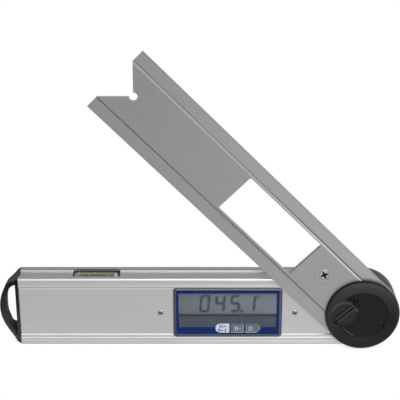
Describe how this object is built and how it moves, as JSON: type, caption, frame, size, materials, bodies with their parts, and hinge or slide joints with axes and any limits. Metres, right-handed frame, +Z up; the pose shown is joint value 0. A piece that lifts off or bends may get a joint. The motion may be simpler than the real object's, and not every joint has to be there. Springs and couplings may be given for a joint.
{
  "type": "angle finder with arms",
  "caption": "Digital angle finder: a hollow aluminium leg with display, buttons and level vial, and a flat windowed arm on a large hub.",
  "frame": {"origin": "middle of the base leg's flat bottom edge, at half the leg's length (hub end to left end) and half its depth", "axes": "+X along the base leg towards the hub, +Z up, -Y is the front where the display and the arm are"},
  "size_m": [0.3507, 0.0434, 0.2669],
  "materials": {
    "aluminium": "fine matt anodised",
    "arm_aluminium": "fine matt anodised",
    "black_plastic": "fine grained",
    "hub_plastic": "fine grained",
    "bezel_plastic": "satin",
    "lens": "clear, tinted",
    "lcd": "polished glass",
    "white_button": "satin",
    "grey_button": "satin",
    "steel": "bright",
    "spring_steel": "bright",
    "brass": "plain",
    "board": "satin",
    "encoder_copper": "satin",
    "inner_plastic": "plain",
    "silicone": "soft matt",
    "seal_rubber": "plain",
    "zebra": "plain",
    "cable": "plain",
    "lead": "plain",
    "bush": "smooth",
    "vial": "clear"
  },
  "bodies": {
    "base": {"base_extrusion": "aluminium", "end_handle": "black_plastic", "hub_housing": "hub_plastic", "hub_screws": "steel", "pivot_cover": "black_plastic", "cover_screws": "steel", "coin_cell": "steel", "battery_contacts": "brass", "battery_leads": "lead", "wave_spring": "spring_steel", "encoder_stator": "board", "clamp_nut": "brass", "display_bezel": "bezel_plastic", "display_lens": "lens", "lcd_glass": "lcd", "zebra_strip": "zebra", "main_board": "board", "board_screws": "steel", "key_mat": "silicone", "dome_switches": "spring_steel", "module_carrier": "inner_plastic", "module_screws": "steel", "signal_ribbon": "cable", "vial_frame": "inner_plastic", "vial_block": "vial", "vial_plug": "bush"},
    "arm": {"arm": "arm_aluminium", "pivot_bush": "bush", "encoder_rotor": "encoder_copper", "arm_screw": "steel", "glide_pad": "bush"},
    "battery_lid": {"battery_lid": "black_plastic", "lid_seal": "seal_rubber"},
    "lock_knob": {"lock_knob": "black_plastic", "clamp_bolt": "steel"},
    "button_power": {"button_power": "white_button"},
    "button_hold": {"button_hold": "grey_button"},
    "button_zero": {"button_zero": "grey_button"}
  },
  "joints": [
    {"name": "arm_hinge", "type": "hinge", "parent": "base", "child": "arm", "pos_m": [0.15, -0.01275, 0.0325], "axis": [0, 1, 0], "range_deg": [-45.1, 179.9]},
    {"name": "lid_twist", "type": "hinge", "parent": "base", "child": "battery_lid", "pos_m": [0.1341, -0.01275, 0.0345], "axis": [0, -1, 0], "range_deg": [0, 45]},
    {"name": "lock_turn", "type": "hinge", "parent": "base", "child": "lock_knob", "pos_m": [0.15, -0.01275, 0.0325], "axis": [0, 1, 0], "range_deg": [0, 270]},
    {"name": "button_power_press", "type": "slide", "parent": "base", "child": "button_power", "axis": [0, 1, 0], "range_m": [0, 0.0005], "stiffness_N_per_m": 2500, "springref_m": -0.0002},
    {"name": "button_hold_press", "type": "slide", "parent": "base", "child": "button_hold", "axis": [0, 1, 0], "range_m": [0, 0.0005], "stiffness_N_per_m": 2500, "springref_m": -0.0002},
    {"name": "button_zero_press", "type": "slide", "parent": "base", "child": "button_zero", "axis": [0, 1, 0], "range_m": [0, 0.0005], "stiffness_N_per_m": 2500, "springref_m": -0.0002}
  ]
}
